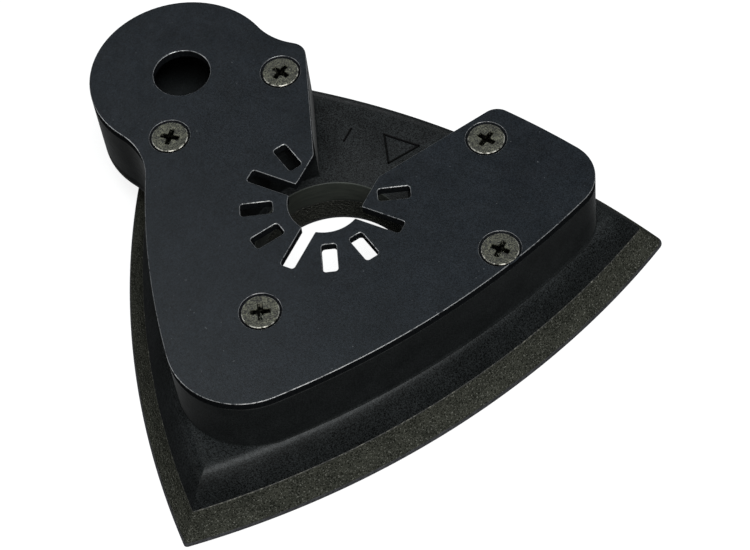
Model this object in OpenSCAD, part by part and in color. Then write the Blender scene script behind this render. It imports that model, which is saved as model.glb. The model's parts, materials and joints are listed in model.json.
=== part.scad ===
// Delta sanding pad with a dust port, an attachment for an oscillating multi tool.
// Millimetres. The origin is on the tool's spindle axis, at the level of the sanding face.
// +Z points up to the tool and -Y points to the pad's nose. The dust port's ear is on the -X side.

/* [Pad outline] */
// Chord between two corners of the sanding face
pad_side = 105; // [102:0.5:108]
// How far each side of the sanding face bows out past its chord
side_bulge = 8.8; // [8.4:0.1:9.2]
// How much the sharp tips of the two rear corners are cut back
rear_blunt = 0.6; // [0.2:0.1:1.4]
// How much the sharp tip of the nose is cut back
nose_blunt = 0.3; // [0.2:0.1:1.4]

/* [Layers] */
// Thickness of the hook sheet
hook_t = 0.8; // [0.6:0.1:1.2]
// Thickness of the foam
foam_t = 4.5; // [4:0.1:6]
// Thickness of the adhesive film between the foam and the housing
bond_t = 0.2; // [0.1:0.05:0.3]
// How far the pad's flank draws in from the sanding face up to the housing
foam_flare = 3.6; // [2.6:0.1:3.8]

/* [Housing] */
// Thickness of the housing's base
base_t = 5.5; // [5:0.1:6]
// How far the skirt draws in up to the start of its shoulder
skirt_run = 2.6; // [2.2:0.1:2.6]
// How far the shoulder draws in
shoulder_run = 0.7; // [0.4:0.1:0.7]
// Height of the shoulder
shoulder_h = 0.7; // [0.4:0.1:1]
// Height of the frame's walls above the base
frame_h = 11.95; // [11:0.05:14]
// Thickness of the frame's walls
wall_t = 2.2; // [1.8:0.1:2.4]
// Depth of the dust chamber's floor below the top of the base
chamber_drop = 2; // [1:0.1:2.4]
// Radius of the well around the spindle axis
well_r = 14; // [13:0.1:14.4]
// Radius of the pocket under the cover plate
pocket_r = 16; // [15.8:0.1:16.6]
// Radius of each dust hole
dust_hole_r = 3; // [2:0.1:3.2]

/* [Frame outline] */
// Distance from the sanding face's outline in to the frame's walls
frame_inset = 7.6; // [7.6:0.1:8]
// Angle by which the two long walls turn towards the nose, in degrees
frame_lean = 0.8; // [0.4:0.1:0.8]
// How much nearer the left wall is to the pad's edge than the right wall
left_out = 0.4; // [0:0.1:0.4]
// How much nearer the rear walls are to the pad's edge than the right wall
rear_out = 0.3; // [0:0.1:0.4]
// Radius of the frame's nose
nose_r = 13.7; // [12:0.1:15]
// Radius of the frame's rear corner
tail_r = 7.8; // [7:0.1:10]
// Radius of the two lobes beside the notch
lobe_r = 3.1; // [2.6:0.1:3.6]
// Distance of the notch's apex in front of the spindle axis
notch_apex = 2.8; // [2.4:0.1:3.2]

/* [Dust port] */
// Distance of the port from the spindle axis, to the left
ear_x = 37.6; // [37:0.1:38.4]
// Distance of the port behind the spindle axis
ear_y = 16.2; // [15.6:0.1:17]
// Radius of the ear
ear_r = 17.2; // [16.8:0.1:17.6]
// Radius of the hollow corner between the ear and the left wall
ear_side_fillet = 13; // [11:0.5:14]
// Radius of the hollow corner between the ear and the rear wall
ear_rear_fillet = 12; // [10:0.5:14]
// How far the ear reaches below the top of the base
ear_drop = 2.4; // [1.2:0.1:2.8]
// Radius of the port
port_r = 5.3; // [4.5:0.1:6.5]

/* [Cover plate] */
// Thickness of the cover plate
plate_t = 1.75; // [1.5:0.05:2]
// Radius of the arbor hole
arbor_r = 6.7; // [6.5:0.1:7]
// Half of the width of the arbor hole's open throat
throat_half = 6.45; // [6.3:0.05:6.5]
// Inner end of each short locating slot, from the spindle axis
slot_in_r = 9.3; // [9:0.1:9.6]
// Outer end of every locating slot, from the spindle axis
slot_out_r = 15.1; // [14.8:0.1:15.4]
// Width of the locating slots
slot_w = 2.7; // [2.5:0.1:3]
// Rounding of the slots' corners
slot_round = 0.6; // [0.3:0.1:1]

/* [Screws] */
// Radius of a screw's head
head_r = 3.5; // [3.3:0.05:3.6]
// Depth of the head's rim below the plate's top
head_sink = 0.12; // [0.05:0.01:0.15]
// Outer radius of the thread
thread_r = 1.75; // [1.6:0.05:1.75]
// Core radius of the thread
core_r = 1.25; // [1.1:0.05:1.3]
// Overall length of a screw
screw_l = 12; // [10:0.5:13]
// Pitch of the thread
thread_pitch = 1.3; // [1.1:0.1:1.5]

/* [Hidden] */

$fn = 96;
arc_fn = 720;
eps = 0.01;
reach = 40;

// Heights of the joints between the layers, from the sanding face up.
foam_z = hook_t;
bond_z = foam_z + foam_t;
base_z = bond_z + bond_t;
floor_z = base_z + base_t;
plate_z = floor_z + frame_h;
top_z = plate_z + plate_t;

// The sanding face is bounded by three equal arcs, whose centres lie side_c from the spindle axis.
side_r = (pow(pad_side / 2, 2) + pow(side_bulge, 2)) / (2 * side_bulge);
side_c = side_r - side_bulge - pad_side / (2 * sqrt(3));
SIDES = [-30, 90, 210];
// Each corner lies in this direction and is cut back by this much, on an arc about a point behind the axis.
CORNERS = [[-90, nose_blunt], [30, rear_blunt], [150, rear_blunt]];
blunt_behind = 20;
skirt_inset = foam_flare + skirt_run;

function dir(a) = [cos(a), sin(a)];
function unit(v) = v / norm(v);
function mirrored(p) = [-p.x, p.y];
// The point at distance ra from a and rb from b, to the left of the line from a to b.
function meet(a, ra, b, rb) =
    let (d = norm(b - a), u = (b - a) / d, x = (d * d + ra * ra - rb * rb) / (2 * d))
    a + x * u + sqrt(ra * ra - x * x) * [-u.y, u.x];
// The point where the line from p along angle a leaves the circle of radius r about c.
function leave(p, a, c, r) =
    let (q = p - c, b = q * dir(a))
    p + (sqrt(b * b - q * q + r * r) - b) * dir(a);

// The frame follows the same arcs, drawn in, with its two long walls turned a little, and with its
// left and rear walls a little further out.
frame_r = side_r - frame_inset;
right_c = -side_c * dir(-30 - frame_lean);
left_c = mirrored(right_c) + left_out * dir(210);
rear_c = (rear_out - side_c) * dir(90);
nose_c = meet(left_c, frame_r - nose_r, right_c, frame_r - nose_r);
tail_c = meet(right_c, frame_r - tail_r, rear_c, frame_r - tail_r);
ear_c = [-ear_x, ear_y];
// Each hollow corner's arc bites this far into its neighbours, so that the outlines cross cleanly.
bite = 0.02;
side_fillet_c = meet(left_c, frame_r + ear_side_fillet - bite, ear_c, ear_r + ear_side_fillet - bite);
rear_fillet_c = meet(ear_c, ear_r + ear_rear_fillet - bite, rear_c, frame_r + ear_rear_fillet - bite);

// The notch opens to the rear between two flanks, each notch_a away from the +X or -X direction.
notch_a = 60;
notch_in = [sin(notch_a), -cos(notch_a)];
lobe_c = leave([0, -notch_apex] + lobe_r * notch_in, notch_a, rear_c, frame_r - lobe_r);

// Screws: one in the nose, one beside each long wall and one in each lobe.
SCREWS = [[0, -25.1], [32.6, 2.3], [-32.6, 2.3], [20.65, 23.2], [-20.65, 23.2]];
RECESS_TURNS = [8, -28, 33, 14, -12];
rim_h = 0.18;
neck_z = top_z - head_sink - rim_h - (head_r - thread_r);
countersink_r = head_r + head_sink + rim_h;
hole_r = countersink_r - plate_t;
pilot_gap = 0.05;
boss_r = 3.4;
boss_depth = screw_l - plate_t + 0.6;
lead_in = 0.55;
thread_turns = floor((neck_z - top_z + screw_l) / thread_pitch) - 1;
recess_depth = 1.9;
recess_arm = 2.1;
recess_w = 0.9;

// Dust holes: nose, both long sides and both rear corners.
DUST_HOLES = [[0, -35], [20.4, -11.8], [-20.4, -11.8], [31, 13.5], [-31, 13.5]];

// Raised marks on the notch's floor: a plain triangle outline and a plain tick.
mark_h = 0.25;
mark_w = 0.45;
TRIANGLE = [[1.4, 20.6], [4.9, 26.3], [-2.2, 26.3]];
TICK = [[-8.6, 22.2], [-8.6, 25.2]];

// The three-sided body between two heights, drawn in by inset0 at the bottom and inset1 at the top.
module three_arcs(z0, z1, inset0, inset1) {
    translate([0, 0, z0])
        intersection_for (a = SIDES)
            translate([-side_c * cos(a), -side_c * sin(a), 0])
                cylinder(h = z1 - z0, r1 = side_r - inset0, r2 = side_r - inset1, $fn = arc_fn);
}

// The slice of an outline that lies beyond a corner's centre c, between the arcs centred on a and b.
module corner_slice(c, a, b) {
    da = unit(c - a);
    db = unit(c - b);
    polygon([c, c + reach * da, c + reach * (da + db), c + reach * db]);
}

// One layer of the pad between two heights, with its flank on the pad's common slope.
module pad_layer(z0, z1) {
    difference() {
        intersection() {
            three_arcs(z0, z1, foam_flare * z0 / base_z, foam_flare * z1 / base_z);
            blunt_corners(z0, z1);
        }
        pad_holes(z0, z1);
    }
}

// The upright body, between two heights, that cuts the three corners back.
module blunt_corners(z0, z1) {
    intersection_for (c = CORNERS)
        translate([-blunt_behind * cos(c[0]), -blunt_behind * sin(c[0]), z0 - 1])
            cylinder(h = z1 - z0 + 2, r = blunt_behind + pad_side / sqrt(3) - c[1], $fn = arc_fn);
}

// The well and the dust holes, which run through every layer.
module pad_holes(z0, z1) {
    translate([0, 0, z0 - 1]) cylinder(h = z1 - z0 + 2, r = well_r);
    for (p = DUST_HOLES)
        translate([p.x, p.y, z0 - 1]) cylinder(h = z1 - z0 + 2, r = dust_hole_r);
}

// The three arcs of the frame with the nose and the rear corner rounded, drawn in by w.
module frame_body(w) {
    difference() {
        intersection_for (c = [right_c, rear_c, left_c])
            translate(c) circle(r = frame_r - w, $fn = arc_fn);
        corner_slice(nose_c, left_c, right_c);
        corner_slice(tail_c, right_c, rear_c);
    }
    translate(nose_c) circle(r = nose_r - w);
    translate(tail_c) circle(r = tail_r - w);
}

// The ear, with a hollow corner on each side of it where it runs into the frame, drawn in by w.
module ear_body(w) {
    translate(ear_c) circle(r = ear_r - w);
    difference() {
        polygon([ear_c, side_fillet_c, side_fillet_c + (ear_side_fillet + 9) * unit(left_c - side_fillet_c)]);
        translate(side_fillet_c) circle(r = ear_side_fillet + w);
    }
    difference() {
        polygon([ear_c, rear_fillet_c, rear_fillet_c + (ear_rear_fillet + 9) * unit(rear_c - rear_fillet_c)]);
        translate(rear_fillet_c) circle(r = ear_rear_fillet + w);
    }
}

// The notch, widened by w on both flanks.
module notch(w) {
    apex = -notch_apex - w / cos(notch_a);
    far = 60;
    half = (far - apex) / tan(notch_a);
    polygon([[0, apex], [half, far], [-half, far]]);
}

// The slice beyond the right lobe's centre, between the notch's flank and the rear wall.
module lobe_slice() {
    flank = -notch_in;
    back = unit(lobe_c - rear_c);
    polygon([lobe_c, lobe_c + reach * flank, lobe_c + reach * (flank + back), lobe_c + reach * back]);
}

// The body that the frame and the cover plate share, between two heights, drawn in by w.
module outline(z0, z1, w = 0) {
    h = z1 - z0;
    translate([0, 0, z0]) {
        difference() {
            union() {
                linear_extrude(h) frame_body(w);
                linear_extrude(h) ear_body(w);
            }
            translate([0, 0, -1])
                linear_extrude(h + 2) {
                    notch(w);
                    lobe_slice();
                    mirror([1, 0]) lobe_slice();
                }
        }
        for (side = [1, -1])
            translate([side * lobe_c.x, lobe_c.y]) cylinder(h = h, r = lobe_r - w);
    }
}

// The dust chamber inside the frame's walls, around the pocket and the screws' bosses.
module chamber(z0, z1) {
    difference() {
        outline(z0, z1, wall_t);
        translate([0, 0, z0 - 1]) cylinder(h = z1 - z0 + 2, r = pocket_r + wall_t);
        for (p = SCREWS)
            translate([p.x, p.y, z0 - 1]) cylinder(h = z1 - z0 + 2, r = boss_r);
    }
}

// A slot with rounded corners from radius r0 to r1 along +X.
module slot(r0, r1) {
    half = slot_w / 2;
    translate([r0, -half + slot_round]) square([r1 - r0, slot_w - 2 * slot_round]);
    translate([r0 + slot_round, -half]) square([r1 - r0 - 2 * slot_round, slot_w]);
    for (x = [r0 + slot_round, r1 - slot_round], y = [-1, 1])
        translate([x, y * (half - slot_round)]) circle(r = slot_round, $fn = 32);
}

// The open arbor hole and its locating slots, on twelve positions of which three fall in the notch.
module arbor() {
    circle(r = arbor_r);
    translate([-throat_half, 0]) square([2 * throat_half, throat_half * tan(notch_a)]);
    for (a = [0, 180, 270]) rotate(a) slot(0, slot_out_r);
    for (a = [30, 150, 210, 240, 300, 330]) rotate(a) slot(slot_in_r, slot_out_r);
}

module cover_plate() {
    color("#2b2d31")
    difference() {
        outline(plate_z, top_z);
        translate([0, 0, plate_z - 1]) linear_extrude(plate_t + 2) arbor();
        translate([ear_c.x, ear_c.y, plate_z - 1]) cylinder(h = plate_t + 2, r = port_r);
        for (p = SCREWS)
            translate([p.x, p.y, plate_z - eps])
                cylinder(h = plate_t + 2 * eps, r1 = hole_r - eps, r2 = countersink_r + eps);
    }
}

// The cross recess in a screw's head, tapering down from the top.
module recess() {
    intersection() {
        translate([0, 0, -recess_depth])
            cylinder(h = recess_depth + eps, r1 = recess_w / 2 + 0.15, r2 = recess_arm, $fn = 32);
        for (a = [0, 90])
            rotate(a)
                translate([-recess_arm, -recess_w / 2, -recess_depth])
                    cube([2 * recess_arm, recess_w, recess_depth + 1]);
    }
}

// One thread-forming screw with a countersunk head, its rim at height 0 and its tip below.
module screw() {
    cone_h = head_r - thread_r;
    shank_l = screw_l - rim_h - cone_h;
    difference() {
        union() {
            translate([0, 0, -rim_h]) cylinder(h = rim_h, r = head_r);
            translate([0, 0, -rim_h - cone_h]) cylinder(h = cone_h, r1 = thread_r, r2 = head_r);
            translate([0, 0, 1.2 - screw_l]) cylinder(h = shank_l - 1.2 + eps, r = core_r);
            translate([0, 0, -screw_l]) cylinder(h = 1.2, r1 = 0.2, r2 = core_r);
            for (i = [1 : thread_turns])
                translate([0, 0, -rim_h - cone_h - i * thread_pitch])
                    for (side = [0, 1])
                        mirror([0, 0, side])
                            cylinder(h = thread_r - core_r + 0.2, r1 = thread_r, r2 = core_r - 0.2);
        }
        recess();
    }
}

module cover_screws() {
    color("#7c7a68")
    for (i = [0 : len(SCREWS) - 1])
        translate([SCREWS[i].x, SCREWS[i].y, top_z - head_sink])
            rotate(RECESS_TURNS[i])
                screw();
}

// A raised bar on the notch's floor, from p to q.
module floor_bar(p, q) {
    v = q - p;
    translate([p.x, p.y, floor_z - eps])
        rotate(atan2(v.y, v.x))
            translate([-mark_w / 2, -mark_w / 2, 0])
                cube([norm(v) + mark_w, mark_w, mark_h + eps]);
}

// The sloped skirt, its shoulder and the flat base inside it.
module base() {
    shoulder_z = floor_z - shoulder_h;
    three_arcs(base_z, shoulder_z, foam_flare, skirt_inset);
    three_arcs(shoulder_z, floor_z, skirt_inset, skirt_inset + shoulder_run);
}

// The frame's walls and the ear, standing on the base and open at the top.
module frame() {
    difference() {
        outline(floor_z - eps, plate_z);
        translate([0, 0, floor_z - 1]) cylinder(h = frame_h + 2, r = pocket_r);
    }
    intersection() {
        outline(floor_z - ear_drop, floor_z);
        translate([ear_c.x, ear_c.y, 0]) cylinder(h = floor_z, r = ear_r);
    }
}

// The dust chamber's space: over the whole frame above the base, and sunk into the base inside the pad.
module chamber_space() {
    chamber(floor_z, plate_z + 1);
    intersection() {
        chamber(floor_z - chamber_drop, floor_z + 1);
        three_arcs(floor_z - chamber_drop, floor_z + 1, frame_inset + wall_t, frame_inset + wall_t);
    }
}

module housing() {
    color("#1a1b1c")
    difference() {
        union() {
            base();
            frame();
            for (i = [0 : 2]) floor_bar(TRIANGLE[i], TRIANGLE[(i + 1) % 3]);
            floor_bar(TICK[0], TICK[1]);
        }
        chamber_space();
        pad_holes(base_z, floor_z);
        for (p = SCREWS)
            translate([p.x, p.y, plate_z - boss_depth]) {
                cylinder(h = boss_depth + 1, r = thread_r + pilot_gap);
                translate([0, 0, boss_depth - lead_in])
                    cylinder(h = lead_in + eps, r1 = thread_r + pilot_gap, r2 = thread_r + pilot_gap + lead_in);
            }
    }
}

module foam_bond() { color("#8d8a80") pad_layer(bond_z, base_z); }
module foam_pad() { color("#3a382f") pad_layer(foam_z, bond_z); }
module hook_sheet() { color("#1f1f1f") pad_layer(0, foam_z); }

cover_plate();
cover_screws();
housing();
foam_bond();
foam_pad();
hook_sheet();
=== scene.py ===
"""A delta sanding pad with a dust port, for an oscillating multi tool, on a plain pale floor.

Plan figures are in millimetres in the CAD model's frame: the origin is on the spindle axis at the
sanding face, +Z is up and -Y points to the nose. Meshes are scaled to metres as they are made.
"""

import json
import math
import random

import bmesh
import bpy
import numpy as np
from mathutils import Matrix, Vector, geometry, noise


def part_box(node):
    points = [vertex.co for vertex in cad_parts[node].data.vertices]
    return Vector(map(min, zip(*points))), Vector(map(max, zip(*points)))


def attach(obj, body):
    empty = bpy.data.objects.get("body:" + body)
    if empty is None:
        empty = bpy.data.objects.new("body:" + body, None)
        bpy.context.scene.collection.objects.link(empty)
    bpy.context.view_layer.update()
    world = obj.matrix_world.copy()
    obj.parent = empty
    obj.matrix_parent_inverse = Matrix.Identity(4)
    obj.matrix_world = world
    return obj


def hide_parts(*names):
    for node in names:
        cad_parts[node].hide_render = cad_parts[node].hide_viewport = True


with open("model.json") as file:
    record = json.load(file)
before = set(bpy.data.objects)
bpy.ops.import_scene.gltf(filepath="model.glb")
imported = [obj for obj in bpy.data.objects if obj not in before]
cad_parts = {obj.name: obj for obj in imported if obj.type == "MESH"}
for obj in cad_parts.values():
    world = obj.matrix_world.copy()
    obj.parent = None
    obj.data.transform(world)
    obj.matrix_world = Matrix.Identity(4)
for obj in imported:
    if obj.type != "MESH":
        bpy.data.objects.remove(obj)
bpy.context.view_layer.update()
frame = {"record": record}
MM = 0.001


# ---------------------------------------------------------------- sizes from the frame
def mount(name):
    """The record's mount of that name."""
    return next(m for m in frame["record"]["mounts"] if m["name"] == name)


def bottom(node):
    """The height of a node's underside, in millimetres."""
    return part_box(node)[0][2] / MM


def top(node):
    """The height of a node's upper side, in millimetres."""
    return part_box(node)[1][2] / MM


HOOK_TOP = top("hook_sheet")
FOAM_TOP = top("foam_pad")
BASE_Z = bottom("housing")
FLOOR_Z = mount("arbor_well")["dims"]["length_mm"]
PLATE_Z = bottom("cover_plate")
TOP_Z = top("cover_plate")
PLATE_T = TOP_Z - PLATE_Z
WELL_R = mount("arbor_well")["dims"]["r_mm"]
ARBOR_R = mount("spindle_seat")["dims"]["r_mm"]
PORT_R = mount("dust_port")["dims"]["r_mm"]
EAR_C = Vector(mount("dust_port")["pos_m"][:2]) / MM

# ---------------------------------------------------------------- sizes of the outlines
PAD_SIDE = 105.0
SIDE_BULGE = 8.8
SIDE_R = ((PAD_SIDE / 2) ** 2 + SIDE_BULGE**2) / (2 * SIDE_BULGE)
SIDE_C = SIDE_R - SIDE_BULGE - PAD_SIDE / (2 * math.sqrt(3))
FOAM_FLARE = 3.6
FRAME_INSET = 7.6
FRAME_LEAN = 0.8
LEFT_OUT = 0.4
REAR_OUT = 0.3
FRAME_R = SIDE_R - FRAME_INSET
NOSE_R = 13.7
TAIL_R = 7.8
LOBE_R = 3.1
EAR_R = 17.2
EAR_DROP = 2.4
SHOULDER_INSET = 6.9
SHOULDER_REACH = 2.3
SIDE_FILLET = 13.0
REAR_FILLET = 12.0
NOTCH_APEX = 2.8
NOTCH_A = 60
POCKET_R = 16.0
WALL_T = 2.2
THROAT_HALF = 6.45
SLOT_IN_R = 9.3
SLOT_OUT_R = 15.1
SLOT_HALF = 1.35
SLOT_ROUND = 0.6
COUNTERSINK_R = 3.8
SCREWS = [(0, -25.1, 30), (32.6, 2.3, 0), (-32.6, 2.3, 11), (20.65, 23.2, -12), (-20.65, 23.2, -12)]
DUST_HOLES = [(0, -35), (20.4, -11.8), (-20.4, -11.8), (31, 13.5), (-31, 13.5)]
DUST_HOLE_R = 3.0
WELL_STEPS = 128
BASE_REAR_R = 0.5
BASE_NOSE_R = 0.15
FOAM_REAR_R = 1.7
FOAM_NOSE_R = 0.65
FOAM_HOLLOW = 0.22
HOOK_PITCH = 1.5
HOOK_ROW = 0.87
WALL_FOOT = 1.2
EAR_CLEAR = 3
BOSS_R = 3.4
BOSS_BORE_R = 1.8
BOSS_DEPTH = 10.8
MARK_HALF = 0.22
MARK_HEIGHT = 0.22
SHANK_R = 1.75
THREAD_R = 1.72
CORE_R = 1.25
THREAD_PITCH = 1.3
HEAD_R = 3.3
HEAD_SINK = 0.05
CHAMFER = 0.1
RIM = 0.2
LAND = 0.12

# ---------------------------------------------------------------- order of each piece's materials
COATED, RUBBED, SHADED_SIDES = range(3)
NYLON, BORE, MARKS, WALLS = range(4)
STEEL, RECESS, BEVEL = range(3)


# ---------------------------------------------------------------- plan geometry
def polar(degrees, r=1.0):
    """The point at radius r in a direction counted anticlockwise from +X."""
    return Vector((r * math.cos(math.radians(degrees)), r * math.sin(math.radians(degrees))))


def towards(radians):
    """The unit vector in a direction in radians."""
    return Vector((math.cos(radians), math.sin(radians)))


def as_loop(points):
    """Points as an array with one (x, y) row each."""
    return np.array([tuple(p) for p in points])


def mirrored(p):
    """The point on the other side of the plane of symmetry."""
    return Vector((-p.x, p.y))


def meet(a, ra, b, rb):
    """The point at distance ra from a and rb from b, to the left of the line from a to b."""
    d = (b - a).length
    u = (b - a) / d
    x = (d * d + ra * ra - rb * rb) / (2 * d)
    return a + u * x + Vector((-u.y, u.x)) * math.sqrt(ra * ra - x * x)


def leave(p, u, c, r):
    """The point where the line from p along the unit vector u leaves the circle of radius r about c."""
    q = p - c
    b = q.dot(u)
    return p + u * (math.sqrt(b * b - q.dot(q) + r * r) - b)


ORIGIN = Vector((0, 0))
RIGHT_C = polar(-30 - FRAME_LEAN, -SIDE_C)
LEFT_C = mirrored(RIGHT_C) + polar(210, LEFT_OUT)
REAR_C = polar(90, REAR_OUT - SIDE_C)
NOSE_C = meet(LEFT_C, FRAME_R - NOSE_R, RIGHT_C, FRAME_R - NOSE_R)
TAIL_C = meet(RIGHT_C, FRAME_R - TAIL_R, REAR_C, FRAME_R - TAIL_R)
SIDE_FILLET_C = meet(LEFT_C, FRAME_R + SIDE_FILLET, EAR_C, EAR_R + SIDE_FILLET)
REAR_FILLET_C = meet(EAR_C, EAR_R + REAR_FILLET, REAR_C, FRAME_R + REAR_FILLET)
FLANK = polar(NOTCH_A)
INTO_RIGHT = polar(NOTCH_A - 90)
LOBE_C = leave(Vector((0, -NOTCH_APEX)) + INTO_RIGHT * LOBE_R, FLANK, REAR_C, FRAME_R - LOBE_R)
LEFT_LOBE_C = mirrored(LOBE_C)


def arc(c, r, start, end, turn, w=0.0, steps=0):
    """Points on an arc from the direction start to the direction end. turn is 1 for a corner that
    bulges out of the outline and -1 for a hollow one. w draws the outline in."""
    a = math.atan2(start.y, start.x)
    b = math.atan2(end.y, end.x)
    while (b - a) * turn < 0:
        b += turn * 2 * math.pi
    steps = steps or max(2, math.ceil(abs(b - a) / math.radians(4)), math.ceil(abs(b - a) * r / 1.6))
    radius = r - turn * w
    return [c + towards(t) * radius for t in np.linspace(a, b, steps + 1)]


def joined(*stretches):
    """One closed outline from stretches that meet end to end, each shared end taken once."""
    points = []
    for stretch in stretches:
        points += [p for p in stretch if not points or (p - points[-1]).length > 1e-3]
    if (points[0] - points[-1]).length <= 1e-3:
        points.pop()
    return as_loop(points)


def frame_path(w, inside):
    """The outline of the frame, anticlockwise and drawn in by w. inside is the stretch that runs from
    the notch's right flank round the spindle axis to its left flank."""
    return joined(
        arc(RIGHT_C, FRAME_R, NOSE_C - RIGHT_C, TAIL_C - RIGHT_C, 1, w),
        arc(TAIL_C, TAIL_R, TAIL_C - RIGHT_C, TAIL_C - REAR_C, 1, w),
        arc(REAR_C, FRAME_R, TAIL_C - REAR_C, LOBE_C - REAR_C, 1, w),
        arc(LOBE_C, LOBE_R, LOBE_C - REAR_C, -INTO_RIGHT, 1, w),
        inside,
        arc(LEFT_LOBE_C, LOBE_R, mirrored(-INTO_RIGHT), LEFT_LOBE_C - REAR_C, 1, w),
        arc(REAR_FILLET_C, REAR_FILLET, REAR_C - REAR_FILLET_C, EAR_C - REAR_FILLET_C, -1, w),
        arc(EAR_C, EAR_R, REAR_FILLET_C - EAR_C, SIDE_FILLET_C - EAR_C, 1, w),
        arc(SIDE_FILLET_C, SIDE_FILLET, EAR_C - SIDE_FILLET_C, LEFT_C - SIDE_FILLET_C, -1, w),
        arc(LEFT_C, FRAME_R, SIDE_FILLET_C - LEFT_C, NOSE_C - LEFT_C, 1, w),
        arc(NOSE_C, NOSE_R, NOSE_C - LEFT_C, NOSE_C - RIGHT_C, 1, w),
    )


def pocket_path(w):
    """The arc round the pocket between the notch's two flanks, for a frame outline drawn in by w."""
    start = leave(Vector((0, -NOTCH_APEX)) + INTO_RIGHT * w, FLANK, ORIGIN, POCKET_R + w)
    return arc(ORIGIN, POCKET_R + w, start, mirrored(start), -1, steps=96)


def rounded(points, steps=5):
    """A run of points with corners turned into arcs: each point is (x, y, radius)."""
    out = []
    for i, (x, y, r) in enumerate(points):
        p = Vector((x, y))
        if r == 0:
            out.append(p)
            continue
        u = (Vector(points[i - 1][:2]) - p).normalized()
        v = (Vector(points[(i + 1) % len(points)][:2]) - p).normalized()
        half = u.angle(v) / 2
        centre = p + (u + v).normalized() * (r / math.sin(half))
        a = p + u * (r / math.tan(half)) - centre
        b = p + v * (r / math.tan(half)) - centre
        for k in range(steps + 1):
            out.append(centre + (a * (1 - k / steps) + b * (k / steps)).normalized() * r)
    return out


def turned(points, degrees):
    """Points (x, y, radius) turned about the spindle axis."""
    c = math.cos(math.radians(degrees))
    s = math.sin(math.radians(degrees))
    return [(x * c - y * s, x * s + y * c, r) for x, y, r in points]


def arbor_path():
    """The open arbor hole from the notch's right flank round to its left flank, with its long slots."""
    throat_y = THROAT_HALF * math.tan(math.radians(NOTCH_A)) - NOTCH_APEX
    root_x = math.sqrt(ARBOR_R**2 - SLOT_HALF**2)
    root_a = math.degrees(math.asin(SLOT_HALF / ARBOR_R))
    long_slot = [
        (root_x, SLOT_HALF, 0.2),
        (SLOT_OUT_R, SLOT_HALF, SLOT_ROUND),
        (SLOT_OUT_R, -SLOT_HALF, SLOT_ROUND),
        (root_x, -SLOT_HALF, 0.2),
    ]
    between = [(*polar(a, ARBOR_R), 0) for a in np.linspace(-root_a - 5, root_a - 85, 14)]
    right_edge = [(2 * LOBE_C.x, 2 * LOBE_C.x * math.tan(math.radians(NOTCH_A)) - NOTCH_APEX, 0)]
    throat = [(THROAT_HALF, throat_y, 1.2), (THROAT_HALF, 2.2, 0)]
    left_throat = [(-x, y, r) for x, y, r in reversed(throat)]
    left_edge = [(-x, y, r) for x, y, r in right_edge]
    run = [*right_edge, *throat, *long_slot, *between, *turned(long_slot, -90)]
    run += [*turned(between, -90), *turned(long_slot, 180), *left_throat, *left_edge]
    return rounded(run)[1:-1]


def short_slot(degrees):
    """The clockwise outline of one short locating slot."""
    box = [
        (SLOT_IN_R, SLOT_HALF, SLOT_ROUND),
        (SLOT_OUT_R, SLOT_HALF, SLOT_ROUND),
        (SLOT_OUT_R, -SLOT_HALF, SLOT_ROUND),
        (SLOT_IN_R, -SLOT_HALF, SLOT_ROUND),
    ]
    return as_loop(rounded(turned(box, degrees)))


def hole(x, y, r, steps=64):
    """A clockwise circle."""
    t = np.linspace(0, -2 * math.pi, steps, endpoint=False)
    return np.stack([x + r * np.cos(t), y + r * np.sin(t)], 1)


def openings():
    """The clockwise outlines of the well and of the dust holes."""
    return [hole(0, 0, WELL_R, WELL_STEPS)] + [hole(x, y, DUST_HOLE_R) for x, y in DUST_HOLES]


def pad_path(w, rear_r, nose_r, step=0.7):
    """The pad's three-sided outline drawn in by w, anticlockwise, with its two rear corners and its
    nose rounded."""
    centres = [polar(a, -SIDE_C) for a in (-30, 90, 210)]
    r = SIDE_R - w
    radii = (rear_r, rear_r, nose_r)
    tips = [meet(centres[i], r - radii[i], centres[(i + 1) % 3], r - radii[i]) for i in range(3)]
    points = []
    for i, c in enumerate(centres):
        a = tips[i - 1] - c
        b = tips[i] - c
        nxt = tips[i] - centres[(i + 1) % 3]
        count = round(PAD_SIDE / step)
        start = math.atan2(a.y, a.x)
        sweep = a.angle(b)
        points += [c + towards(t) * r for t in np.linspace(start, start + sweep, count)]
        first = math.atan2(b.y, b.x)
        turn = b.angle(nxt)
        for t in np.linspace(first, first + turn, 10)[1:-1]:
            points.append(tips[i] + towards(t) * radii[i])
    return as_loop(points)


def drawn_in(loop, w):
    """A closed loop moved to its left by w, which is into the material, with mitred corners."""
    ahead = np.roll(loop, -1, 0) - loop
    ahead /= np.linalg.norm(ahead, axis=1)[:, None]
    left = np.stack([-ahead[:, 1], ahead[:, 0]], 1)
    mid = left + np.roll(left, 1, 0)
    mid /= np.linalg.norm(mid, axis=1)[:, None]
    return loop + mid * (w / np.maximum((mid * left).sum(1), 0.5))[:, None]


# ---------------------------------------------------------------- mesh building
def ring(bm, loop, z):
    """A ring of vertices. z is one height, or one height for each point."""
    heights = np.broadcast_to(z, len(loop))
    return [bm.verts.new((x, y, h)) for (x, y), h in zip(loop, heights)]


def skin(bm, low, high, material=0):
    """Faces between two rings of the same length, looking away from the material on their left."""
    n = len(low)
    for i in range(n):
        j = (i + 1) % n
        bm.faces.new((low[i], low[j], high[j], high[i])).material_index = material


def skins(bm, rings, material=0):
    """Faces between each ring and the next."""
    for low, high in zip(rings, rings[1:]):
        skin(bm, low, high, material)


def within(points, loops):
    """For each point, whether it lies inside the region that the loops bound."""
    inside = np.zeros(len(points), bool)
    for loop in loops:
        for (x0, y0), (x1, y1) in zip(loop, np.roll(loop, -1, 0)):
            if y0 == y1:
                continue
            spans = (y0 > points[:, 1]) != (y1 > points[:, 1])
            at = x0 + (points[:, 1] - y0) * (x1 - x0) / (y1 - y0)
            inside ^= spans & (points[:, 0] < at)
    return inside


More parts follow.
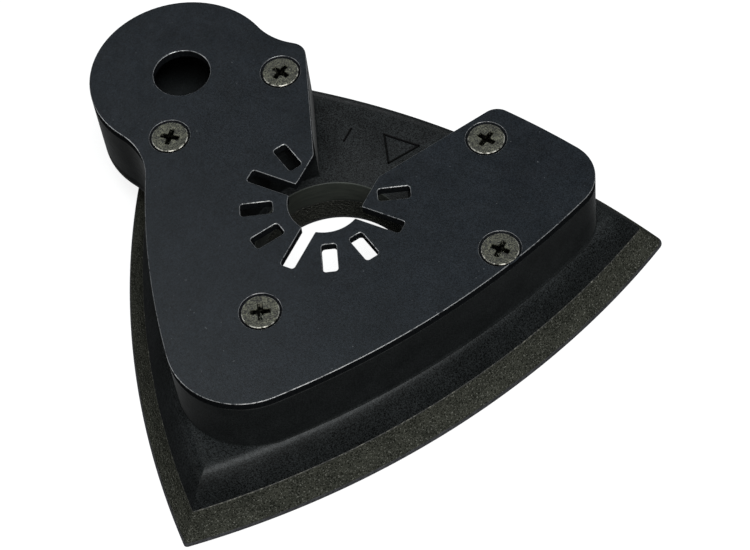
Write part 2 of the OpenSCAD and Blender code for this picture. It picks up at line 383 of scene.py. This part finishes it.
def cap(bm, rings, up, material=0):
    """Fills the flat region between rings of vertices, facing up or down."""
    verts = [v for r in rings for v in r]
    coords = [v.co.xy for v in verts]
    edges = []
    for r in rings:
        base = len(edges)
        edges += [(base + i, base + (i + 1) % len(r)) for i in range(len(r))]
    found, _, faces, origin, _, _ = geometry.delaunay_2d_cdt(coords, edges, [], 0, 1e-7)
    loops = [as_loop([v.co.xy for v in r]) for r in rings]
    plan = as_loop(found)
    faces = [f for f in faces if all(origin[i] for i in f)]
    keep = within(np.array([plan[list(f)].mean(0) for f in faces]), loops)
    for f, kept in zip(faces, keep):
        if not kept:
            continue
        corners = [verts[origin[i][0]] for i in (f if up else reversed(f))]
        if bm.faces.get(corners) is None:
            bm.faces.new(corners).material_index = material


def slab(bm, loops, z0, z1, edge, profiles):
    """A flat plate between two heights. The first loop is its outline and the others are holes, and
    every edge is chamfered by edge. profiles gives some loops their own run of (inset, z).
    The upper chamfers are RUBBED, and everything below them takes SHADED_SIDES, which is painted shade."""
    plain = [(edge, z0), (0, z0 + edge), (0, z1 - edge), (edge, z1)]
    lows = []
    highs = []
    for i, loop in enumerate(loops):
        profile = profiles.get(i, plain)
        rings = [ring(bm, drawn_in(loop, w), z) for w, z in profile]
        for k in range(len(rings) - 1):
            upper = profile[k + 1][1] == z1
            # Faces below the upper chamfer take the darker side material, which is painted shade.
            skin(bm, rings[k], rings[k + 1], RUBBED if upper else SHADED_SIDES)
        lows.append(rings[0])
        highs.append(rings[-1])
    cap(bm, lows, False, COATED)
    cap(bm, highs, True, COATED)


def lathe(bm, profile, centre=(0, 0), steps=64):
    """A closed body of revolution about a vertical axis, from (radius, z) pairs bottom to top.
    A radius of 0 at an end closes it in a point, and other ends are left open."""
    rings = []
    for r, z in profile:
        if r == 0:
            rings.append([bm.verts.new((*centre, z))])
        else:
            rings.append(ring(bm, hole(*centre, r, steps)[::-1], z))
    for low, high in zip(rings, rings[1:]):
        if len(low) == len(high):
            skin(bm, low, high)
        elif len(low) == 1:
            for i in range(steps):
                bm.faces.new((low[0], high[(i + 1) % steps], high[i]))
        else:
            for i in range(steps):
                bm.faces.new((low[i], low[(i + 1) % steps], high[0]))
    return rings


def piece(name, bm, materials, sharp=38):
    """A mesh object in metres, smooth but for the edges that turn by more than sharp degrees."""
    bmesh.ops.recalc_face_normals(bm, faces=bm.faces)
    for f in bm.faces:
        f.smooth = True
    for e in bm.edges:
        if len(e.link_faces) == 2 and e.calc_face_angle(0) > math.radians(sharp):
            e.smooth = False
    bmesh.ops.scale(bm, vec=(MM, MM, MM), verts=bm.verts)
    mesh = bpy.data.meshes.new(name)
    bm.to_mesh(mesh)
    bm.free()
    for m in materials:
        mesh.materials.append(m)
    obj = bpy.data.objects.new(name, mesh)
    bpy.context.scene.collection.objects.link(obj)
    return obj


# ---------------------------------------------------------------- materials
class Shader:
    """A material whose nodes are added and linked by short calls. Lengths are in millimetres."""

    def __init__(self, name, **sockets):
        self.material = bpy.data.materials.new(name)
        self.material.use_nodes = True
        self.tree = self.material.node_tree
        self.body = self.tree.nodes["Principled BSDF"]
        for socket, value in sockets.items():
            self.body.inputs[socket.replace("_", " ")].default_value = value
        coords = self.tree.nodes.new("ShaderNodeTexCoord")
        scale = self.tree.nodes.new("ShaderNodeVectorMath")
        scale.operation = "SCALE"
        scale.inputs["Scale"].default_value = 1 / MM
        self.tree.links.new(coords.outputs["Object"], scale.inputs[0])
        self.place = scale.outputs[0]

    def link(self, source, node, socket):
        """Links an output to a node's input of that name."""
        self.tree.links.new(source, node.inputs[socket])

    def noise(self, size, detail=3.0, roughness=0.55, place=None):
        """Noise from 0 to 1 whose features are about size across."""
        node = self.tree.nodes.new("ShaderNodeTexNoise")
        node.inputs["Scale"].default_value = 1 / size
        node.inputs["Detail"].default_value = detail
        node.inputs["Roughness"].default_value = roughness
        self.link(place or self.place, node, "Vector")
        return node.outputs["Fac"]

    def cells(self, size):
        """Distances to the points of a scatter of cells about size across."""
        node = self.tree.nodes.new("ShaderNodeTexVoronoi")
        node.inputs["Scale"].default_value = 1 / size
        self.link(self.place, node, "Vector")
        return node.outputs["Distance"]

    def stretched(self, x, y, z):
        """The place with its axes scaled, for a texture with a direction."""
        node = self.tree.nodes.new("ShaderNodeMapping")
        node.inputs["Scale"].default_value = (x, y, z)
        self.link(self.place, node, "Vector")
        return node.outputs[0]

    def ramp(self, value, *stops):
        """A colour ramp: each stop is (position, colour or grey)."""
        node = self.tree.nodes.new("ShaderNodeValToRGB")
        while len(node.color_ramp.elements) < len(stops):
            node.color_ramp.elements.new(0.5)
        for element, (position, colour) in zip(node.color_ramp.elements, stops):
            element.position = position
            shade = colour if isinstance(colour, tuple) else (colour,) * 3
            element.color = (*shade, 1)
        self.link(value, node, "Fac")
        return node.outputs["Color"]

    def mix(self, factor, a, b, blend="MIX"):
        """Mixes two colours. factor, a and b are sockets or plain values."""
        node = self.tree.nodes.new("ShaderNodeMix")
        node.data_type = "RGBA"
        node.blend_type = blend
        for index, value in ((0, factor), (6, a), (7, b)):
            if isinstance(value, bpy.types.NodeSocket):
                self.tree.links.new(value, node.inputs[index])
            else:
                node.inputs[index].default_value = value if index == 0 else (*value, 1)
        return node.outputs[2]

    def bump(self, height, depth, strength):
        """Adds a bump of the given depth in millimetres, on top of any bump already there."""
        node = self.tree.nodes.new("ShaderNodeBump")
        node.inputs["Strength"].default_value = strength
        node.inputs["Distance"].default_value = depth * MM
        self.link(height, node, "Height")
        before = self.body.inputs["Normal"]
        if before.is_linked:
            self.link(before.links[0].from_socket, node, "Normal")
        self.link(node.outputs[0], self.body, "Normal")

    def colour(self, socket):
        """Takes the base colour from an output."""
        self.link(socket, self.body, "Base Color")

    def rough(self, socket):
        """Takes the roughness from an output."""
        self.link(socket, self.body, "Roughness")


def plate_coat():
    """Satin black coating on pressed steel: fine orange-peel, a faint mottle and pale dust specks."""
    s = Shader("plate_coat", IOR=1.45, Specular_IOR_Level=0.12)
    mottle = s.ramp(s.noise(7.0), (0.35, (0.0038, 0.0048, 0.0060)), (0.7, (0.0052, 0.0065, 0.0082)))
    grain = s.ramp(s.noise(0.2, 3.0, 0.7), (0.36, 0.35), (0.64, 1.65))
    fine = s.mix(1.0, mottle, grain, "MULTIPLY")
    specks = s.ramp(s.noise(0.5, 1.0), (0.77, 0.0), (0.82, 1.0))
    s.colour(s.mix(specks, fine, (0.03, 0.032, 0.034)))
    s.rough(s.ramp(s.noise(2.5, 4.0), (0.3, 0.28), (0.75, 0.37)))
    s.bump(s.noise(0.35, 2.0), 0.014, 0.5)
    s.bump(s.noise(0.14, 1.0), 0.006, 0.5)
    return s.material


def plate_edge():
    """The plate's chamfers, where handling has rubbed the coating through to a bright broken line."""
    s = Shader("plate_edge", IOR=1.5)
    wear = s.ramp(s.noise(1.1, 5.0, 0.75), (0.4, 0.0), (0.56, 1.0))
    s.colour(s.mix(wear, (0.01, 0.011, 0.013), (0.28, 0.285, 0.29)))
    s.link(s.ramp(wear, (0.0, 0.0), (1.0, 0.9)), s.body, "Metallic")
    s.rough(s.ramp(wear, (0.0, 0.4), (1.0, 0.34)))
    s.bump(s.noise(0.3, 3.0), 0.02, 0.5)
    return s.material


def plate_side_painted_shade():
    """The plate's sheared sides, matt, and painted blacker than the coat as painted shade."""
    s = Shader("plate_side_painted_shade", IOR=1.45, Specular_IOR_Level=0.02, Roughness=0.6)
    # Painted shade: the sides, lower chamfers and countersink seats are coloured darker than the coat.
    s.colour(s.ramp(s.noise(0.4, 3.0), (0.3, (0.0018, 0.0021, 0.0025)), (0.7, (0.0045, 0.005, 0.0056))))
    s.bump(s.noise(0.3, 3.0), 0.03, 0.6)
    return s.material


def housing_nylon(name, depth, sheen):
    """Black glass-filled nylon with a fine spark texture and a faint cloud of fibre flow. depth
    scales the texture, and sheen lightens the faces that turn away."""
    s = Shader(name, IOR=1.45, Specular_IOR_Level=0.07, Sheen_Weight=sheen, Sheen_Roughness=0.3)
    flow = s.ramp(s.noise(6.0, 4.0), (0.3, (0.0027, 0.0031, 0.0032)), (0.75, (0.0054, 0.0060, 0.0062)))
    grain = s.ramp(s.noise(0.26, 3.0, 0.7), (0.38, 1.2 - 1.1 * depth), (0.64, 1.0 + 1.6 * depth))
    s.colour(s.mix(1.0, flow, grain, "MULTIPLY"))
    s.rough(s.ramp(s.noise(1.2, 4.0), (0.3, 0.34), (0.75, 0.46)))
    s.bump(s.noise(0.3, 3.0), 0.05 * depth, 0.8)
    s.bump(s.noise(3.0, 2.0), 0.06, 0.35)
    return s.material


def bore_nylon_painted_light():
    """The well's moulded wall: smoother than the outside, with faint streaks round the bore, and
    painted several times lighter than the outside as painted light from the floor below.
    """
    s = Shader("bore_nylon_painted_light", IOR=1.45, Specular_IOR_Level=0.1)
    streaks = s.noise(0.6, 3.0, 0.6, s.stretched(0.12, 0.12, 1))
    # Painted light: these colours are far lighter than the housing's nylon, for the light that the pale
    # floor sends up the well.
    s.colour(s.ramp(streaks, (0.3, (0.013, 0.0145, 0.0125)), (0.7, (0.024, 0.026, 0.022))))
    s.rough(s.ramp(s.noise(1.0), (0.3, 0.38), (0.7, 0.5)))
    s.bump(streaks, 0.03, 0.6)
    s.bump(s.noise(0.3, 3.0), 0.03, 0.6)
    return s.material


def marks_painted_shadow():
    """The floor's marks: smooth, and painted near-black as the shadow beside their raised edges, so
    that they look blacker than the floor.
    """
    s = Shader("marks_painted_shadow", IOR=1.45, Specular_IOR_Level=0.05, Roughness=0.3)
    # Painted shadow: the marks are coloured near-black for the shade round the raised bars.
    s.colour(s.ramp(s.noise(0.5, 3.0), (0.3, 0.0008), (0.7, 0.002)))
    return s.material


def foam(name, level, gloss):
    """Cut olive-brown foam: small open cells with painted shade in their hollows, pale torn rims and
    darker patches. level scales how light it is, and gloss how much it mirrors."""
    s = Shader(name, IOR=1.4, Specular_IOR_Level=gloss, Roughness=0.95)
    patches = s.ramp(s.noise(4.0, 4.0), (0.3, (0.0105, 0.011, 0.0088)), (0.72, (0.019, 0.0194, 0.0154)))
    # Painted shade: each cell is darkest at its centre, where the bump dents it.
    pore_shade = s.ramp(s.cells(0.42), (0.1, 0.15), (0.48, 1.4))
    cells = s.mix(1.0, patches, pore_shade, "MULTIPLY")
    torn = s.ramp(s.noise(0.3, 3.0, 0.75), (0.57, 0.0), (0.66, 1.0))
    s.colour(s.mix(1.0, s.mix(torn, cells, (0.092, 0.092, 0.08)), (level, level, level), "MULTIPLY"))
    s.bump(s.cells(0.42), 0.2, 0.9)
    s.bump(s.noise(0.7, 4.0), 0.15, 0.5)
    return s.material


def adhesive():
    """A thin film's squeezed-out edge: grey, ragged and a little shiny."""
    s = Shader("adhesive", IOR=1.45, Roughness=0.6, Specular_IOR_Level=0.3)
    blobs = s.ramp(s.noise(0.7, 4.0, 0.7), (0.5, (0.010, 0.010, 0.009)), (0.68, (0.075, 0.073, 0.06)))
    s.colour(blobs)
    s.bump(s.noise(0.4, 3.0), 0.06, 0.8)
    return s.material


def hook_cloth():
    """The hook sheet: matte black nylon with a woven backing."""
    s = Shader("hook_cloth", IOR=1.45, Sheen_Weight=0.04, Specular_IOR_Level=0.1)
    ribs = s.noise(0.5, 2.0, place=s.stretched(1, 0.25, 1))
    s.colour(s.ramp(ribs, (0.35, (0.008, 0.008, 0.009)), (0.7, (0.02, 0.02, 0.022))))
    s.rough(s.ramp(s.noise(1.0), (0.3, 0.5), (0.7, 0.8)))
    s.bump(ribs, 0.05, 0.7)
    return s.material


def screw_steel():
    """Yellow-grey passivated steel with a rough stamped face."""
    s = Shader("screw_steel", Metallic=0.5)
    stain = s.ramp(s.noise(1.1, 4.0), (0.3, (0.008, 0.0082, 0.0056)), (0.7, (0.037, 0.037, 0.026)))
    pits = s.ramp(s.noise(0.3, 3.0, 0.75), (0.42, 0.05), (0.58, 2.2))
    s.colour(s.mix(1.0, stain, pits, "MULTIPLY"))
    s.rough(s.ramp(s.noise(0.5, 4.0), (0.3, 0.4), (0.7, 0.62)))
    s.bump(s.noise(0.35, 4.0), 0.09, 0.9)
    return s.material


def rim_steel():
    """The bevel round a screw's head, scraped bright in broken arcs."""
    s = Shader("rim_steel", Metallic=0.6, Roughness=0.4)
    s.colour(s.ramp(s.noise(0.8, 4.0, 0.7), (0.42, (0.02, 0.02, 0.015)), (0.58, (0.42, 0.41, 0.37))))
    s.bump(s.noise(0.3, 3.0), 0.05, 0.8)
    return s.material


def recess_steel_painted_shade():
    """The inside of the cross recess, painted near-black as the shade inside it, with lighter random
    patches.
    """
    s = Shader("recess_steel_painted_shade", Metallic=1.0)
    # Painted shade: the recess's near-black colour stands for the shade inside it.
    s.colour(s.ramp(s.noise(0.5, 3.0), (0.45, (0.003, 0.004, 0.0035)), (0.62, (0.12, 0.12, 0.1))))
    s.rough(s.ramp(s.noise(0.3), (0.3, 0.25), (0.7, 0.4)))
    return s.material


def pale_floor():
    """A pale light table: it glows evenly, so hardly any shadow is left on it."""
    s = Shader("pale_floor", Roughness=0.9, Specular_IOR_Level=0.1, Emission_Strength=0.85)
    s.body.inputs["Emission Color"].default_value = (1, 1, 1, 1)
    s.colour(s.ramp(s.noise(60.0), (0.3, 0.095), (0.7, 0.105)))
    return s.material


# ---------------------------------------------------------------- pieces
def make_plate():
    """The pressed cover plate, with chamfered edges, locating slots and countersinks."""
    bm = bmesh.new()
    loops = [frame_path(0, arbor_path())]
    loops += [short_slot(a) for a in (30, 150, 210, 240, 300, 330)]
    loops += [hole(*EAR_C, PORT_R, 96)]
    sunk = {}
    clear_r = COUNTERSINK_R - PLATE_T
    cone = PLATE_T - LAND
    rim = CHAMFER / 2
    for x, y, _ in SCREWS:
        sunk[len(loops)] = [
            (0, PLATE_Z),
            (0, PLATE_Z + LAND),
            (cone - rim, TOP_Z - rim),
            (cone, TOP_Z),
        ]
        loops.append(hole(x, y, clear_r + LAND))
    slab(bm, loops, PLATE_Z, TOP_Z, CHAMFER, sunk)
    return piece("cover_plate_sheet", bm, [plate_coat(), plate_edge(), plate_side_painted_shade()])


def skirt_profile():
    """The skirt's run of (inset, z): a small lip, the slope, and a soft shoulder up to the ledge."""
    foot = FOAM_FLARE
    shoulder = Vector((SHOULDER_INSET, FLOOR_Z))
    slope = (shoulder - Vector((foot, BASE_Z + 0.25))).normalized()
    run = [(foot + 0.15, BASE_Z), (foot, BASE_Z + 0.12), (foot + 0.03, BASE_Z + 0.3)]
    start = shoulder - slope * SHOULDER_REACH
    end = shoulder + Vector((SHOULDER_REACH * 0.8, 0))
    for t in np.linspace(0, 1, 13):
        p = start * (1 - t) ** 2 + shoulder * (2 * t * (1 - t)) + end * t**2
        run.append((p.x, p.y))
    return run


def make_housing():
    """The moulded housing: sloped base, hollow walled frame, ear, bosses and the floor's marks."""
    bm = bmesh.new()
    rings = [ring(bm, pad_path(w, BASE_REAR_R, BASE_NOSE_R), z) for w, z in skirt_profile()]
    skins(bm, rings)
    bore_steps = [
        (0.15, BASE_Z),
        (0, BASE_Z + 0.15),
        (0, FLOOR_Z - 0.25),
        (0.08, FLOOR_Z - 0.08),
        (0.25, FLOOR_Z),
    ]
    lows = [rings[0]]
    highs = [rings[-1]]
    for loop in openings():
        bored = [ring(bm, drawn_in(loop, w), z) for w, z in bore_steps]
        skins(bm, bored, BORE)
        lows.append(bored[0])
        highs.append(bored[-1])
    cap(bm, lows, False)
    cap(bm, highs, True)

    # The frame's wall: up its outside, over its rim and down into the dust chamber.
    foot_z = FLOOR_Z - WALL_FOOT
    outer = frame_path(0, pocket_path(0))
    inner = frame_path(WALL_T, pocket_path(WALL_T))
    on_ledge = np.linalg.norm(outer - np.array(EAR_C), axis=1) > EAR_R + EAR_CLEAR
    rings = []
    for w, z in (
        (-0.25, foot_z),
        (-0.25, FLOOR_Z - 0.14),
        (-0.08, FLOOR_Z + 0.06),
        (0, FLOOR_Z + 0.3),
    ):
        rings.append(ring(bm, drawn_in_by(outer, w * on_ledge), z))
    for w, z in ((0, PLATE_Z - RIM), (RIM, PLATE_Z)):
        rings.append(ring(bm, drawn_in(outer, w), z))
    outside = len(rings) - 1
    for w, z in ((0.1, PLATE_Z), (0, PLATE_Z - 0.1), (0, foot_z)):
        rings.append(ring(bm, drawn_in(inner, -w), z))
    for i, (low, high) in enumerate(zip(rings, rings[1:] + rings[:1])):
        skin(bm, low, high, WALLS if i < outside else NYLON)

    # The ear reaches down past the ledge, with a rounded lower rim.
    ear_z = FLOOR_Z - EAR_DROP
    ear_plan = ear_foot_path()
    rim = ((0.5, 0), (0.15, 0.14), (0, 0.5))
    rings = [ring(bm, drawn_in(ear_plan, w), ear_z + dz) for w, dz in rim]
    rings.append(ring(bm, ear_plan, FLOOR_Z + 0.2))
    skins(bm, rings, WALLS)
    cap(bm, [rings[0]], False, WALLS)
    cap(bm, [rings[-1]], True, WALLS)

    boss = [
        (BOSS_BORE_R, PLATE_Z - BOSS_DEPTH),
        (BOSS_BORE_R, PLATE_Z - 0.55),
        (BOSS_BORE_R + 0.55, PLATE_Z),
        (BOSS_R, PLATE_Z),
        (BOSS_R, foot_z),
    ]
    for x, y, _ in SCREWS:
        rings = lathe(bm, boss[::-1], (x, y))
        skin(bm, rings[-1], rings[0])
    floor_marks(bm)
    textured = housing_nylon("housing_nylon", 1.0, 0.0)
    walls = housing_nylon("wall_nylon", 0.5, 0.045)
    return piece("housing_shell", bm, [textured, bore_nylon_painted_light(), marks_painted_shadow(), walls])


def ear_foot_path():
    """The plan of the ear below the ledge: its round, both hollow corners, and a line across the
    frame."""
    return joined(
        arc(REAR_FILLET_C, REAR_FILLET, REAR_C - REAR_FILLET_C, EAR_C - REAR_FILLET_C, -1),
        arc(EAR_C, EAR_R, REAR_FILLET_C - EAR_C, SIDE_FILLET_C - EAR_C, 1),
        arc(SIDE_FILLET_C, SIDE_FILLET, EAR_C - SIDE_FILLET_C, LEFT_C - SIDE_FILLET_C, -1),
    )


def floor_marks(bm):
    """A plain triangle outline and a plain tick, raised on the notch's floor."""
    triangle = [Vector((1.4, 20.6)), Vector((4.9, 26.3)), Vector((-2.2, 26.3))]
    bars = [(triangle[i], triangle[(i + 1) % 3]) for i in range(3)]
    bars.append((Vector((-8.6, 22.2)), Vector((-8.6, 25.2))))
    for a, b in bars:
        u = (b - a).normalized()
        side = Vector((-u.y, u.x)) * MARK_HALF
        start = a - u * MARK_HALF
        end = b + u * MARK_HALF
        loop = as_loop((start - side, end - side, end + side, start + side))
        low = ring(bm, loop, FLOOR_Z - 0.02)
        high = ring(bm, drawn_in(loop, 0.1), FLOOR_Z + MARK_HEIGHT)
        skin(bm, low, high, MARKS)
        bm.faces.new(high).material_index = MARKS
        bm.faces.new(low[::-1])


def pad_layer_path(z, w, step=0.7):
    """The foam's outline at height z, drawn in by w. Its rear corners are rounder at the sanding face
    than at the housing."""
    t = z / BASE_Z
    rear_r = FOAM_REAR_R - 0.9 * t
    nose_r = FOAM_NOSE_R - 0.3 * t
    return pad_path(FOAM_FLARE * t + w, rear_r, nose_r, step)


def make_foam():
    """The foam pad, with a slightly hollow, rough-cut flank."""
    bm = bmesh.new()
    levels = np.linspace(HOOK_TOP, FOAM_TOP, 12)
    rings = []
    for z in levels:
        t = (z - HOOK_TOP) / (FOAM_TOP - HOOK_TOP)
        hollow = FOAM_HOLLOW * math.sin(math.pi * t)
        loop = pad_layer_path(z, hollow)
        rough = np.array([noise.noise(Vector((x * 1.7, y * 1.7, z * 1.7))) for x, y in loop])
        waves = np.array([noise.noise(Vector((x * 0.22, y * 0.22, z * 0.5 + 9))) for x, y in loop])
        offset = 0.07 * rough + 0.1 * waves
        rings.append(ring(bm, drawn_in_by(loop, np.maximum(offset, 0)), z))
    skins(bm, rings)
    close_with_openings(bm, rings[0], rings[-1], HOOK_TOP, FOAM_TOP, BORE)
    # The well's wall of foam is a darker copy of the foam: painted shade inside the well.
    materials = [foam("foam", 0.8, 0.005), foam("foam_bore_painted_shade", 0.7, 0.15)]
    made = piece("foam_pad_cut", bm, materials, 60)
    return made


def drawn_in_by(loop, widths):
    """A closed loop moved into the material by a different width at each point."""
    unit = drawn_in(loop, 1.0) - loop
    return loop + unit * widths[:, None]


def close_with_openings(bm, low, high, z0, z1, bore=0):
    """Closes a layer below and above, with the well and the dust holes through it. The openings'
    walls take the material index bore."""
    lows = [low]
    highs = [high]
    for loop in openings():
        bored = [ring(bm, loop, z) for z in np.linspace(z0, z1, 4)]
        skins(bm, bored, bore)
        lows.append(bored[0])
        highs.append(bored[-1])
    cap(bm, lows, False)
    cap(bm, highs, True)


def make_adhesive():
    """The film between foam and housing, squeezed out unevenly round its edge."""
    bm = bmesh.new()
    rings = []
    for dz, out in ((0.0, 0.05), (0.08, 0.2), (0.2, 0.12)):
        z = FOAM_TOP + dz
        loop = pad_layer_path(z, 0, 0.35)
        jag = np.array([noise.noise(Vector((x * 2.6, y * 2.6, 4 + dz))) for x, y in loop])
        inset = 0.05 - out * np.clip(jag + 0.15, -0.5, 1)
        rings.append(ring(bm, drawn_in_by(loop, inset), z))
    skins(bm, rings)
    close_with_openings(bm, rings[0], rings[-1], FOAM_TOP, BASE_Z, BORE)
    # The film's wall in the well is a darker copy of the foam: painted shade inside the well.
    return piece("foam_bond_film", bm, [adhesive(), foam("film_bore_painted_shade", 0.6, 0.1)], 80)


def make_hooks():
    """The hook sheet: a thin backing with rows of small bent hooks under it."""
    bm = bmesh.new()
    back_z = 0.22
    rings = []
    for z, w in ((back_z, 0.1), (back_z + 0.1, 0), (HOOK_TOP - 0.06, 0), (HOOK_TOP, 0.08)):
        rings.append(ring(bm, pad_layer_path(z, w), z))
    skins(bm, rings)
    close_with_openings(bm, rings[0], rings[-1], back_z, HOOK_TOP)
    field = pad_layer_path(0, 0.9)
    rng = random.Random(7)
    spots = []
    for i in range(-40, 41):
        for j in range(-42, 43):
            x = (i + 0.5 * (j % 2)) * HOOK_PITCH
            y = j * HOOK_PITCH * HOOK_ROW
            clear = math.hypot(x, y) > WELL_R + 0.6
            clear &= all(math.hypot(x - hx, y - hy) > DUST_HOLE_R + 0.5 for hx, hy in DUST_HOLES)
            if clear:
                spots.append((x, y))
    spots = np.array(spots)
    # A hook's run of (distance along it, height, thickness), from the backing to its tip.
    bend = [
        (0, back_z + 0.02, 0.17),
        (0.02, 0.14, 0.12),
        (0.12, 0.05, 0.1),
        (0.3, 0.03, 0.09),
        (0.42, 0.1, 0.05),
    ]
    for x, y in spots[within(spots, [field])]:
        side = 1 if rng.random() < 0.5 else -1
        lean = rng.uniform(-0.05, 0.05)
        last = None
        for along, z, thick in bend:
            cx = x + side * (along - 0.15)
            cy = y + lean * along
            corners = ((-thick, 0), (0, -thick), (thick, 0), (0, thick))
            now = [bm.verts.new((cx + dx * 0.7, cy + dy, z)) for dx, dy in corners]
            if last:
                skin(bm, last, now)
            last = now
        bm.faces.new(last)
    return piece("hook_sheet_face", bm, [hook_cloth()])


def screw_mesh(name, materials):
    """One countersunk screw with its head's rim at height 0, and a cross recess cut into it."""
    bm = bmesh.new()
    cone = HEAD_R - SHANK_R
    rim = 0.18
    profile = [(0, -12.0), (0.35, -11.7), (CORE_R, -10.8)]
    z = -10.4
    while z < -3.2:
        profile += [(CORE_R, z - 0.3), (THREAD_R, z - 0.03), (THREAD_R, z + 0.03), (CORE_R, z + 0.3)]
        z += THREAD_PITCH
    profile += [(CORE_R, -2.6), (SHANK_R, -rim - cone)]
    profile += [(HEAD_R - 0.04, -rim - 0.04), (HEAD_R, -rim)]
    rings = lathe(bm, [*profile, (HEAD_R, -0.14)], steps=72)
    face = lathe(bm, [(HEAD_R - 0.13, 0.0), (2.9, 0.01), (0, 0.02)], steps=72)
    skin(bm, rings[-1], face[0], BEVEL)
    head = piece(name, bm, materials)
    cutter_bm = bmesh.new()
    cross = []
    for a in (0, 90, 180, 270):
        cross += turned([(0.5, -0.5, 0.12), (1.72, -0.44, 0.16), (1.72, 0.44, 0.16)], a)
    wide = as_loop(rounded(cross, 3))
    low = ring(cutter_bm, wide * 0.5, -1.9)
    mid = ring(cutter_bm, wide * 0.98, -0.14)
    high = ring(cutter_bm, wide * 1.14, 0.14)
    # The recess's walls take the recess material, which is painted shade.
    skin(cutter_bm, low, mid, RECESS)
    skin(cutter_bm, mid, high, STEEL)
    cap(cutter_bm, [low], False, RECESS)
    cap(cutter_bm, [high], True)
    cutter = piece(name + "_cutter", cutter_bm, materials)
    cut = head.modifiers.new("recess", "BOOLEAN")
    cut.operation = "DIFFERENCE"
    cut.object = cutter
    cut.solver = "EXACT"
    depsgraph = bpy.context.evaluated_depsgraph_get()
    mesh = bpy.data.meshes.new_from_object(head.evaluated_get(depsgraph))
    bpy.data.objects.remove(cutter)
    bpy.data.objects.remove(head)
    return mesh


def make_screws():
    """Five screws, each with its recess turned its own way."""
    materials = [screw_steel(), recess_steel_painted_shade(), rim_steel()]
    mesh = screw_mesh("screw", materials)
    bm = bmesh.new()
    for x, y, turn in SCREWS:
        seat = Matrix.Translation((x, y, TOP_Z - HEAD_SINK))
        place = seat @ Matrix.Rotation(math.radians(turn), 4, "Z")
        start = len(bm.verts)
        bm.from_mesh(mesh)
        bm.verts.ensure_lookup_table()
        for v in bm.verts[start:]:
            v.co = place @ (v.co / MM)
    return piece("cover_screw_set", bm, materials, 34)


# ---------------------------------------------------------------- stage, lights and camera
def make_stage():
    """The floor, 8 m square."""
    bm = bmesh.new()
    half = 4000
    corners = ((-half, -half), (half, -half), (half, half), (-half, half))
    bm.faces.new([bm.verts.new((x, y, 0)) for x, y in corners])
    floor = piece("floor", bm, [pale_floor()])
    # The lights and the dim world light the object. The floor neither lights it nor shows in it.
    floor.visible_diffuse = False
    floor.visible_glossy = False


def area_light(name, position, size, power, tint):
    """A square softbox that faces the object."""
    data = bpy.data.lights.new(name, "AREA")
    data.size = size
    data.energy = power
    data.color = tint
    light = bpy.data.objects.new(name, data)
    light.location = position
    light.rotation_euler = (-Vector(position)).to_track_quat("-Z", "Y").to_euler()
    bpy.context.scene.collection.objects.link(light)


def make_lights():
    """The dim surroundings and the five softboxes. Positions are in metres and powers in watts."""
    world = bpy.data.worlds.new("studio")
    world.use_nodes = True
    world.node_tree.nodes["Background"].inputs["Color"].default_value = (0.93, 0.97, 1, 1)
    world.node_tree.nodes["Background"].inputs["Strength"].default_value = 0.08
    bpy.context.scene.world = world
    area_light("overhead", (0.3, -0.2, 1.05), 0.5, 25, (0.95, 0.99, 1))
    # The front light is high and wide, so that the plate mirrors less of it in low views from behind.
    area_light("front", (0.5, -0.63, 0.6), 1.0, 6.5, (1, 0.97, 0.92))
    area_light("left", (-0.85, -0.46, 0.26), 0.35, 0.9, (1, 1, 1))
    area_light("sheen", (-0.4, 0.2, 0.95), 0.4, 3.1, (0.95, 1, 1))
    area_light("rear", (-0.5, 0.85, 0.35), 0.5, 2.2, (1, 1, 1))


def make_camera():
    """The camera: heading, elevation and roll in degrees, and its distance from look_at in metres."""
    data = bpy.data.cameras.new("camera")
    data.sensor_width = 36
    data.lens = 110.0
    camera = bpy.data.objects.new("camera", data)
    bpy.context.scene.collection.objects.link(camera)
    heading, elevation, roll, distance = 32.65, 55.44, -8.565, 0.4076
    aim = Matrix.Rotation(math.radians(heading), 4, "Z")
    aim = aim @ Matrix.Rotation(math.radians(90 - elevation), 4, "X")
    aim = aim @ Matrix.Rotation(math.radians(roll), 4, "Z")
    look_at = Vector((0.0105, -0.0039, 0.0127))
    camera.matrix_world = Matrix.Translation(look_at) @ aim @ Matrix.Translation((0, 0, distance))
    bpy.context.scene.camera = camera


make_camera()
make_lights()
make_stage()
bpy.context.scene.view_settings.view_transform = "Standard"

BUILT = (
    (make_plate, "cover_plate", "plate_steel"),
    (make_screws, "cover_screws", "screw_steel"),
    (make_housing, "housing", "housing_nylon"),
    (make_adhesive, "foam_bond", "bond_film"),
    (make_foam, "foam_pad", "pad_foam"),
    (make_hooks, "hook_sheet", "hook_fabric"),
)
for make, node, slot in BUILT:
    made = make()
    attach(made, "root")
    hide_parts(node)
